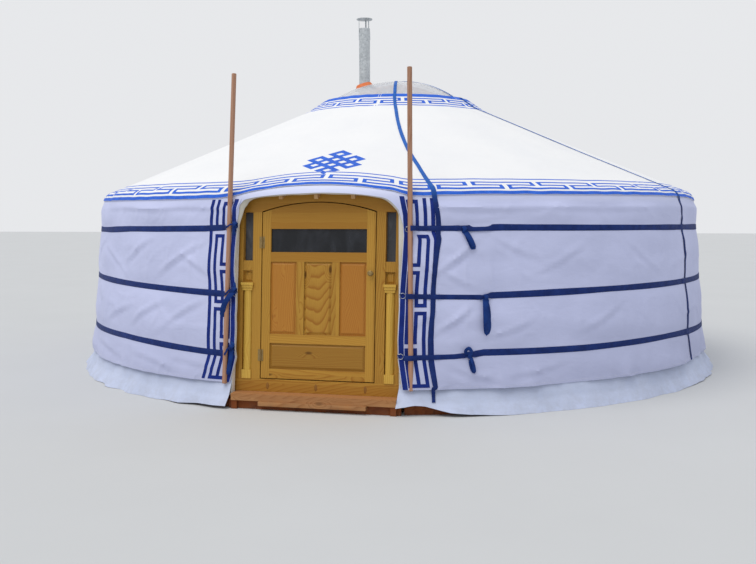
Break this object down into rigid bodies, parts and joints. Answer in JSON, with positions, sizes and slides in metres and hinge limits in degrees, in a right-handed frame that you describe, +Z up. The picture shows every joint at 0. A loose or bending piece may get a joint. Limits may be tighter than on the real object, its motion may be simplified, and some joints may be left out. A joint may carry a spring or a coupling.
{
  "type": "yurt",
  "caption": "Round felt tent with a canvas cover, lattice wall, roof poles, crown wheel with a clear dome, stovepipe and a panelled door, on a timber floor.",
  "frame": {"origin": "on the ground at the middle of the round floor", "axes": "+Z up, the door faces -Y, +X to the right of someone who faces the door"},
  "size_m": [6.6498, 6.5647, 3.68],
  "materials": {
    "white_canvas": "matt cotton canvas",
    "skirt_canvas": "matt cotton canvas, a little soiled",
    "wool_felt": "matt pressed wool",
    "blue_webbing": "woven webbing",
    "golden_pine": "oiled pine, satin",
    "red_pine": "oiled pine, satin",
    "sill_timber": "stained softwood, weathered",
    "floor_timber": "sawn softwood",
    "lattice_timber": "planed ash",
    "pole_timber": "peeled pole, weathered",
    "crown_timber": "painted orange, satin",
    "clear_plastic": "clear, glossy",
    "pane_glass": "clear",
    "galvanised_steel": "dull galvanised",
    "hinge_steel": "dull steel",
    "orange_rubber": "matt silicone rubber"
  },
  "bodies": {
    "tent": {"floor_joists": "floor_timber", "floor_deck": "floor_timber", "floor_rim": "sill_timber", "door_base_board": "sill_timber", "door_sill": "sill_timber", "step_board": "sill_timber", "roof_poles": "lattice_timber", "crown_ring": "crown_timber", "crown_curb": "crown_timber", "crown_ribs": "crown_timber", "crown_dome": "clear_plastic", "stovepipe": "galvanised_steel", "pipe_flashing": "orange_rubber", "pipe_clamp": "galvanised_steel", "pipe_cap": "galvanised_steel", "wall_cover": "white_canvas", "roof_cover": "white_canvas", "skirt": "skirt_canvas", "belt_top": "blue_webbing", "belt_middle": "blue_webbing", "belt_bottom": "blue_webbing", "crown_strap_front": "blue_webbing", "crown_strap_side": "blue_webbing", "door_pole_left": "pole_timber", "door_pole_right": "pole_timber", "frame_bottom_rail": "golden_pine", "frame_stiles": "golden_pine", "frame_posts": "golden_pine", "frame_head": "golden_pine", "side_glass": "pane_glass", "side_panels": "golden_pine", "side_pilasters": "golden_pine", "frame_hinges": "hinge_steel", "lattice_wall_1": "lattice_timber", "lattice_wall_2": "lattice_timber", "lattice_wall_3": "lattice_timber", "lattice_wall_4": "lattice_timber", "lattice_wall_5": "lattice_timber", "roof_felt_1": "wool_felt", "wall_felt_1": "wool_felt", "roof_felt_2": "wool_felt", "wall_felt_2": "wool_felt", "roof_felt_3": "wool_felt", "wall_felt_3": "wool_felt", "roof_felt_4": "wool_felt", "wall_felt_4": "wool_felt"},
    "door": {"leaf_stiles": "golden_pine", "leaf_top_rail": "golden_pine", "leaf_rails": "golden_pine", "leaf_muntins": "golden_pine", "leaf_panels": "red_pine", "leaf_glass": "pane_glass", "leaf_hinges": "hinge_steel", "door_knob": "hinge_steel"}
  },
  "joints": [
    {"name": "door_hinge", "type": "hinge", "parent": "tent", "child": "door", "pos_m": [-0.4675, -3.09488, 0.00047], "axis": [0, -0.0785, -0.9969], "range_deg": [0, 100]}
  ]
}
